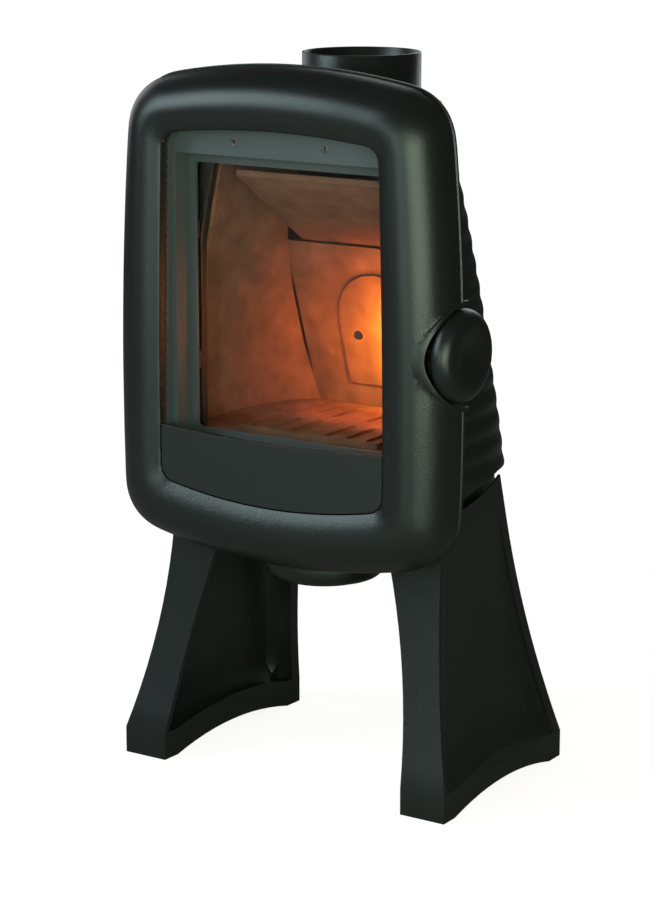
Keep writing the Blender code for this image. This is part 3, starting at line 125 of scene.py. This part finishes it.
def drawn_steel():
    """Plain steel as it comes from the mill, greyed by heat, with faint lines along it."""
    material, tree, shader, place = start("oxidised_mild_steel")
    lines = add(tree, "ShaderNodeTexNoise", {"Vector": place}, Scale=240.0, Detail=3.0)
    tint = add(tree, "ShaderNodeValToRGB", {"Fac": lines.outputs["Fac"]})
    stops(tint, (0.30, linear("#4c4f50")), (0.70, linear("#7b7f80")))
    tree.links.new(tint.outputs["Color"], shader.inputs["Base Color"])
    shader.inputs["Metallic"].default_value = 1.0
    dull = add(tree, "ShaderNodeMapRange", {"Value": lines.outputs["Fac"]}, To_Min=0.30, To_Max=0.50)
    tree.links.new(dull.outputs["Result"], shader.inputs["Roughness"])
    return material


def glass_rope():
    """Braided glass-fibre rope, dark grey: slanting strands with a fuzz of fine fibres over them."""
    material, tree, shader, place = start("glass_fibre_rope")
    strands = add(tree, "ShaderNodeTexWave", {"Vector": place}, Scale=55.0, Distortion=0.6,
                  bands_direction="DIAGONAL")
    fuzz = add(tree, "ShaderNodeTexNoise", {"Vector": place}, Scale=900.0, Detail=2.0)
    both = add(tree, "ShaderNodeMix", {"A": strands.outputs["Fac"], "B": fuzz.outputs["Fac"]},
               Factor=0.4)
    tint = add(tree, "ShaderNodeValToRGB", {"Fac": both.outputs["Result"]})
    stops(tint, (0.25, linear("#1c1c1b")), (0.75, linear("#3c3b38")))
    tree.links.new(tint.outputs["Color"], shader.inputs["Base Color"])
    shader.inputs["Roughness"].default_value = 0.95
    bump = add(tree, "ShaderNodeBump", {"Height": both.outputs["Result"]}, Strength=0.6,
               Distance=0.0008)
    tree.links.new(bump.outputs["Normal"], shader.inputs["Normal"])
    return material


GLASS_INDEX = 1.2


def stove_glass():
    """Clear ceramic stove glass, which lets the fire through and mirrors the room faintly.

    A thin brown tint lies in it. Its index is set below that of real glass, which keeps the
    mirror image faint.
    """
    material, tree, shader, place = start("ceramic_stove_glass")
    wave = add(tree, "ShaderNodeTexNoise", {"Vector": place}, Scale=7.0, Detail=1.0)
    tint = add(tree, "ShaderNodeValToRGB", {"Fac": wave.outputs["Fac"]})
    stops(tint, (0.30, linear("#efe6dc")), (0.70, linear("#f6efe6")))
    tree.links.new(tint.outputs["Color"], shader.inputs["Base Color"])
    shader.inputs["Transmission Weight"].default_value = 1.0
    shader.inputs["IOR"].default_value = GLASS_INDEX
    shader.inputs["Roughness"].default_value = 0.0
    return material


ring_paint = painted_casting("satin_black_paint_on_cast_iron", "#111414", "#1b201f", 0.32, 2.0, 0.5)
frame_paint = painted_casting("grey_paint_on_cast_iron", "#374346", "#455154", 0.42, 2.4, 0.6)
panel_paint = painted_casting("flat_black_paint_on_cast_iron", "#131716", "#1a1f1e", 0.48, 2.0, 0.35)
finishes = {
    "black_cast_iron": ring_paint, "grey_cast_iron": frame_paint, "panel_paint": panel_paint,
    "firebox_iron": scaled_iron(), "steel": drawn_steel(), "rope": glass_rope(), "glass": stove_glass(),
}

for row in frame["record"]["subparts"]:
    piece = nodes[row["node"]]
    for holder in piece.material_slots:
        holder.material = finishes[row["material_slot"]]


# Pieces
bodies = frame["record"]["behaviour"]["bodies"]
home_body = {node: body for body, members in bodies.items() for node in members}
slots = {row["node"]: row["material_slot"] for row in frame["record"]["subparts"]}
JOIN_WITHIN = 0.000002
FLAT_DEGREES = 0.4        # facets closer than this to one plane become one face
CREASE = 0.85


def alone(piece):
    """Selects this piece and nothing else."""
    bpy.ops.object.select_all(action="DESELECT")
    piece.select_set(True)
    bpy.context.view_layer.objects.active = piece


def merged(node, flat_degrees=0.0):
    """A copy of a CAD node's mesh, with its loose triangles joined into one skin."""
    piece = bpy.data.objects.new(node + "_finished", nodes[node].data.copy())
    bpy.context.collection.objects.link(piece)
    alone(piece)
    bpy.ops.object.mode_set(mode="EDIT")
    bpy.ops.mesh.select_all(action="SELECT")
    bpy.ops.mesh.remove_doubles(threshold=JOIN_WITHIN)
    if flat_degrees:
        bpy.ops.mesh.dissolve_limited(angle_limit=math.radians(flat_degrees))
    bpy.ops.object.mode_set(mode="OBJECT")
    return piece


def apply(piece, kind, **settings):
    """Puts one modifier on a piece and applies it."""
    alone(piece)
    step = piece.modifiers.new("step", kind)
    for name, value in settings.items():
        setattr(step, name, value)
    bpy.ops.object.modifier_apply(modifier=step.name)


def dress(piece, node):
    """The piece stands for the node, rides where it rides, and takes its finish."""
    alone(piece)
    piece.data.materials.clear()
    piece.data.materials.append(finishes[slots[node]])
    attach(piece, home_body[node])
    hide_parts(node)
    return piece


def eased(node, width_mm, steps=2, sharp=28, shape=None):
    """A casting or plate with its edges broken by a small round."""
    piece = merged(node, FLAT_DEGREES)
    if shape:
        shape(piece)
    apply(piece, "BEVEL", width=width_mm / 1000, segments=steps, limit_method="ANGLE",
          angle_limit=math.radians(sharp))
    alone(piece)
    bpy.ops.object.shade_smooth_by_angle(angle=math.radians(40))
    apply(piece, "WEIGHTED_NORMAL", keep_sharp=True)
    return dress(piece, node)


def creased(piece, sharp):
    """Joins triangles into quads and creases the edges that are to stay crisp."""
    alone(piece)
    bpy.ops.object.mode_set(mode="EDIT")
    bpy.ops.mesh.select_mode(type="EDGE")
    bpy.ops.mesh.select_all(action="SELECT")
    bpy.ops.mesh.tris_convert_to_quads(face_threshold=math.radians(30), shape_threshold=math.radians(60))
    bpy.ops.mesh.select_all(action="DESELECT")
    bpy.ops.mesh.edges_select_sharp(sharpness=math.radians(sharp))
    bpy.ops.transform.edge_crease(value=CREASE)
    bpy.ops.object.mode_set(mode="OBJECT")


def rounded(node, levels, sharp):
    """A turned or swept piece whose coarse facets are rounded off by subdivision."""
    piece = merged(node)
    creased(piece, sharp)
    apply(piece, "SUBSURF", levels=levels, render_levels=levels)
    alone(piece)
    bpy.ops.object.shade_smooth_by_angle(angle=math.radians(35))
    return dress(piece, node)


def smoothed(node, sharp, shape=None):
    """A finely stepped turned piece, whose steps only need their shading joined."""
    piece = merged(node)
    if shape:
        shape(piece)
    bpy.ops.object.shade_smooth_by_angle(angle=math.radians(sharp))
    return dress(piece, node)


# The door's ring, with the round pocket that the knob sits in
RIM_Y = -0.109
RING_HALF = 0.2526
KNOB_Z = 0.589
NOTCH_Y = RIM_Y + 0.005
NOTCH_R = 0.0626
NOTCH_WALL = 0.005
NOTCH_DEEP = 0.0476
NOTCH_IN_X = RING_HALF - NOTCH_DEEP
NOTCH_STEPS = 80
LIP_LOW = 0.0014          # how far the lip stands out of the ring at the rim
LIP_RISE = 0.0075         # and how much more at the front of the pocket
LIP_INNER, LIP_OUTER = 0.9, 0.75
LIP_ROUND = 0.0014
RING_SHARP = 32           # degrees from which an edge of the ring stays crisp
OUTSIDE_X = 0.4           # a place right of the whole ring, from which its face is looked for
RIM_CLEAR = 0.0004


def whole_ring():
    """The ring without its pocket: the casting's left half, mirrored, then subdivided."""
    ring = merged("door_ring")
    bpy.ops.object.mode_set(mode="EDIT")
    bpy.ops.mesh.select_all(action="SELECT")
    bpy.ops.mesh.bisect(plane_co=(0, 0, 0), plane_no=(1, 0, 0), clear_outer=True)
    bpy.ops.object.mode_set(mode="OBJECT")
    apply(ring, "MIRROR", merge_threshold=0.00001)
    creased(ring, RING_SHARP)
    apply(ring, "SUBSURF", levels=2, render_levels=2)
    return ring


def join(piece, other, operation):
    """Adds another solid to a piece, or cuts it out, and removes the other."""
    apply(piece, "BOOLEAN", object=other, operation=operation, solver="EXACT")
    bpy.data.objects.remove(other)


def pocket_wall(face):
    """The pocket's wall: a strip spun round the knob's axis, with its end laid on the ring."""
    middle, wide = (NOTCH_IN_X + RING_HALF) / 2, RING_HALF - NOTCH_IN_X
    centre = (middle, 2 * NOTCH_Y - RIM_Y, KNOB_Z - NOTCH_R - NOTCH_WALL / 2)
    bpy.ops.object.select_all(action="DESELECT")
    bpy.ops.mesh.primitive_plane_add(size=1, location=centre, rotation=(math.pi / 2, 0, 0))
    wall = bpy.context.active_object
    bpy.ops.object.transform_apply(location=True, rotation=True, scale=True)
    bpy.ops.object.mode_set(mode="EDIT")
    bpy.ops.mesh.select_all(action="SELECT")
    bpy.ops.transform.resize(value=(wide, 1, NOTCH_WALL), center_override=centre)
    bpy.ops.mesh.extrude_region_move(TRANSFORM_OT_translate={"value": (0, RIM_Y - NOTCH_Y, 0)})
    bpy.ops.mesh.spin(steps=NOTCH_STEPS, angle=math.pi, center=(0, NOTCH_Y, KNOB_Z), axis=(1, 0, 0))
    bpy.ops.mesh.extrude_region_move(TRANSFORM_OT_translate={"value": (0, NOTCH_Y - RIM_Y, 0)})
    bpy.ops.mesh.select_all(action="SELECT")
    bpy.ops.mesh.remove_doubles(threshold=0.00001)
    bpy.ops.mesh.normals_make_consistent(inside=False)
    bpy.ops.object.mode_set(mode="OBJECT")
    for point in (v.co for v in wall.data.vertices):
        if point.x > middle:
            ahead = max(0.0, RIM_Y - point.y)
            out = math.hypot(point.y - NOTCH_Y, point.z - KNOB_Z) > NOTCH_R + NOTCH_WALL / 2
            rise = LIP_LOW + LIP_RISE * (ahead / NOTCH_R) ** 2
            start = (OUTSIDE_X, min(point.y, RIM_Y - RIM_CLEAR), point.z)
            point.x = face.ray_cast(start, (-1, 0, 0))[1].x + rise * (LIP_OUTER if out else LIP_INNER)
    apply(wall, "BEVEL", width=LIP_ROUND, segments=3, limit_method="ANGLE",
          angle_limit=math.radians(50))
    return wall


def pocketed_ring():
    """The ring with its pocket bitten out and the pocket's wall joined to it."""
    ring = whole_ring()
    wall = pocket_wall(ring)
    low, high = NOTCH_IN_X - NOTCH_WALL, 2 * RING_HALF
    bpy.ops.mesh.primitive_cylinder_add(vertices=128, radius=NOTCH_R + NOTCH_WALL / 2, depth=high - low,
                                        location=((low + high) / 2, NOTCH_Y, KNOB_Z),
                                        rotation=(0, math.pi / 2, 0))
    join(ring, bpy.context.active_object, "DIFFERENCE")
    join(ring, wall, "UNION")
    alone(ring)
    bpy.ops.object.shade_smooth_by_angle(angle=math.radians(30))
    apply(ring, "WEIGHTED_NORMAL", keep_sharp=True)
    return dress(ring, "door_ring")


# The rest of the castings, plates and turned pieces
KNOB_Y = RIM_Y + 0.001
KNOB_FILL = 1.035
FLUE_Y = 0.047
FLANGE_R = 0.0795         # the flue collar's flange, which covers the plate inside it
PLATE_SHARE = 0.95
LINER_EDGE_X = 0.12       # what lies past this is the rear liner's edge
LINER_HALF_LOW = 0.128
LINER_HALF_HIGH = 0.136


def filled_knob(piece):
    """Lets the knob fill more of its pocket, so that the gap round it is thin."""
    for point in (v.co for v in piece.data.vertices):
        point.y = KNOB_Y + (point.y - KNOB_Y) * KNOB_FILL
        point.z = KNOB_Z + (point.z - KNOB_Z) * KNOB_FILL


def drawn_in_plate(piece):
    """Draws the top plate's rim in behind the ring's shoulder, as far as the front view shows it."""
    for point in (v.co for v in piece.data.vertices):
        if math.hypot(point.x, point.y - FLUE_Y) > FLANGE_R:
            point.x *= PLATE_SHARE
            point.y = FLUE_Y + (point.y - FLUE_Y) * PLATE_SHARE


def spread_liner(piece):
    """Spreads the rear liner to the side liners, so that the castings meet in a narrow joint."""
    heights = [v.co.z for v in piece.data.vertices]
    low, high = min(heights), max(heights)
    for point in (v.co for v in piece.data.vertices):
        if abs(point.x) > LINER_EDGE_X:
            half = LINER_HALF_LOW + (LINER_HALF_HIGH - LINER_HALF_LOW) * (point.z - low) / (high - low)
            point.x = math.copysign(half, point.x)


pocketed_ring()
for leg in ("leg_left", "leg_right"):
    eased(leg, 1.5, 2, 35)
for panel in ("side_panel_left", "side_panel_right", "back_panel", "lower_shell", "air_valve_dish"):
    rounded(panel, 1, 35)
smoothed("flue_collar", 40)
eased("top_plate", 4.0, 3, 28, drawn_in_plate)
smoothed("handle_knob", 40, filled_knob)
eased("rear_liner", 2.5, 3, 28, spread_liner)
for plate, width_mm in (("front_frame", 1.0), ("base_plate", 1.0), ("window_frame", 0.8),
                        ("lower_panel", 0.8), ("side_liner_left", 1.0),
                        ("side_liner_right", 1.0), ("baffle_plate", 1.0), ("hearth_plate", 1.0),
                        ("grate_left", 0.8), ("grate_right", 0.8), ("air_valve_grip", 0.5),
                        ("handle_bearing", 0.8), ("ash_pan", 0.6), ("pan_carrier", 0.5),
                        ("latch_tongue", 0.4), ("latch_keeper", 0.4)):
    eased(plate, width_mm)


# Camera, at the photograph's viewing angle
CAMERA_TURN, CAMERA_TILT = 33.684, 12.946     # degrees to the right of the front, and down
CAMERA_LENS = 109.17
CAMERA_PLACE = (1.90954, -2.90012, 1.21835)


def aim(item, way):
    """Turns a camera or lamp so that it looks this way."""
    item.rotation_euler = Vector(way).to_track_quat("-Z", "Y").to_euler()


turn, tilt = math.radians(CAMERA_TURN), math.radians(CAMERA_TILT)
lens = bpy.data.cameras.new("camera")
lens.lens = CAMERA_LENS
camera = bpy.data.objects.new("camera", lens)
camera.location = CAMERA_PLACE
aim(camera, (-math.sin(turn) * math.cos(tilt), math.cos(turn) * math.cos(tilt), -math.sin(tilt)))
bpy.context.collection.objects.link(camera)
bpy.context.scene.camera = camera


# Floor and backdrop
STAGE_SIZE = 60
STAGE_DROP = 0.0003       # keeps the floor clear of the feet
NEAR, FAR = 0.9, 3.5      # between these distances the floor fades from its own white to the backdrop's
NEAR_GLOW = 0.90
ROOM_PLAIN, ROOM_MIRRORED = 0.07, 0.05
SHOWN_WHITE = 1.0


def shown_level(tree, plain, shown, mirrored):
    """A strength: plain for light on the object, shown to the camera and through glass.

    Glossy rays get their own, lower level: black satin paint under a white room would turn
    grey all over, and the real one keeps its dark flanks.
    """
    path = add(tree, "ShaderNodeLightPath")
    seen = add(tree, "ShaderNodeMath", {0: path.outputs["Is Camera Ray"],
                                        1: path.outputs["Is Transmission Ray"]},
               operation="ADD", use_clamp=True)
    mirror = add(tree, "ShaderNodeMapRange", {"Value": path.outputs["Is Glossy Ray"]},
                 To_Min=plain, To_Max=mirrored)
    level = add(tree, "ShaderNodeMix", {"Factor": seen.outputs[0], "A": mirror.outputs["Result"]})
    level.inputs["B"].default_value = shown
    return level.outputs["Result"]


def pale_stage():
    """A wide sheet of pale paper that takes the object's shadow and shows white to the camera."""
    bpy.ops.object.select_all(action="DESELECT")
    bpy.ops.mesh.primitive_plane_add(size=STAGE_SIZE, location=(0, 0, -STAGE_DROP))
    floor = bpy.context.active_object
    floor.name = "studio_floor"
    material, tree, shader, place = start("pale_studio_paper")
    fibre = add(tree, "ShaderNodeTexNoise", {"Vector": place}, Scale=30.0, Detail=2.0)
    tint = add(tree, "ShaderNodeValToRGB", {"Fac": fibre.outputs["Fac"]})
    stops(tint, (0.30, linear("#8e8e8e")), (0.70, linear("#939393")))
    tree.links.new(tint.outputs["Color"], shader.inputs["Base Color"])
    shader.inputs["Roughness"].default_value = 0.9
    shader.inputs["Specular IOR Level"].default_value = 0.2
    away = add(tree, "ShaderNodeVectorMath", {"Vector": place}, operation="LENGTH")
    far = add(tree, "ShaderNodeMapRange", {"Value": away.outputs["Value"]}, From_Min=NEAR, From_Max=FAR,
              To_Min=NEAR_GLOW, To_Max=1.0, interpolation_type="SMOOTHSTEP")
    shown = shown_level(tree, 0.0, SHOWN_WHITE, 0.0)
    level = add(tree, "ShaderNodeMath", {0: shown, 1: far.outputs["Result"]}, operation="MULTIPLY")
    glow = add(tree, "ShaderNodeEmission", {"Strength": level.outputs[0]})
    total = add(tree, "ShaderNodeAddShader", {0: shader.outputs[0], 1: glow.outputs[0]})
    tree.links.new(total.outputs[0], tree.nodes["Material Output"].inputs["Surface"])
    floor.data.materials.append(material)


def studio_room():
    """The room around: white to the camera, and a weak even light on the object."""
    world = bpy.data.worlds.new("studio_room")
    world.use_nodes = True
    bpy.context.scene.world = world
    tree = world.node_tree
    room = tree.nodes["Background"]
    room.inputs["Color"].default_value = (1.0, 1.0, 1.0, 1.0)
    tree.links.new(shown_level(tree, ROOM_PLAIN, SHOWN_WHITE, ROOM_MIRRORED), room.inputs["Strength"])


# Lamps
FIREBOX = (0, 0, 0.6)
FLAME_BLEND = 0.7


def softbox(name, place, target, wide, high, watts, colour="#ffffff"):
    """A wide studio lamp that looks at the target."""
    light = bpy.data.lights.new(name, "AREA")
    light.shape = "RECTANGLE"
    light.size, light.size_y = wide, high
    light.energy = watts
    light.color = linear(colour)[:3]
    item = bpy.data.objects.new(name, light)
    item.location = place
    item.visible_camera = False
    aim(item, Vector(target) - Vector(place))
    bpy.context.collection.objects.link(item)


def around(turned, raised, away):
    """A place this many degrees right of straight ahead and up, seen from the firebox."""
    t, r = math.radians(turned), math.radians(raised)
    way = Vector((math.sin(t) * math.cos(r), -math.cos(t) * math.cos(r), math.sin(r)))
    return Vector(FIREBOX) + way * away


pale_stage()
studio_room()
softbox("left_key", around(-43, 26, 2.8), FIREBOX, 1.1, 1.7, 36)
softbox("front_soft", around(-2, 5, 2.9), FIREBOX, 1.5, 1.5, 18, "#fdfdf0")
softbox("right_key", around(43, 5, 2.8), FIREBOX, 2.1, 1.5, 58, "#fff8da")
softbox("back_soft", around(-165, 22, 3.0), FIREBOX, 1.8, 1.4, 12)
softbox("left_back_soft", around(-112, 15, 3.0), FIREBOX, 1.6, 1.6, 9)


def fire(name, place, way, watts, colour, size, spread):
    """Firelight: a lamp inside the firebox that looks away from the window."""
    light = bpy.data.lights.new(name, "SPOT")
    light.energy = watts
    light.color = linear(colour)[:3]
    light.shadow_soft_size = size
    light.spot_size = math.radians(spread)
    light.spot_blend = FLAME_BLEND
    item = bpy.data.objects.new(name, light)
    item.location = place
    item.visible_camera = item.visible_glossy = item.visible_transmission = False
    aim(item, way)
    bpy.context.collection.objects.link(item)


fire("flame_wide", (0.095, -0.015, 0.575), (-0.25, 1.0, -0.25), 4.5, "#ff7414", 0.03, 165)
fire("flame_core", (0.075, 0.040, 0.540), (0.0, 1.0, 0.05), 9.0, "#ffa028", 0.012, 165)
fire("flame_left", (-0.060, -0.010, 0.520), (0.35, 1.0, 0.05), 1.0, "#ff7414", 0.03, 165)

bpy.context.scene.view_settings.view_transform = "Standard"
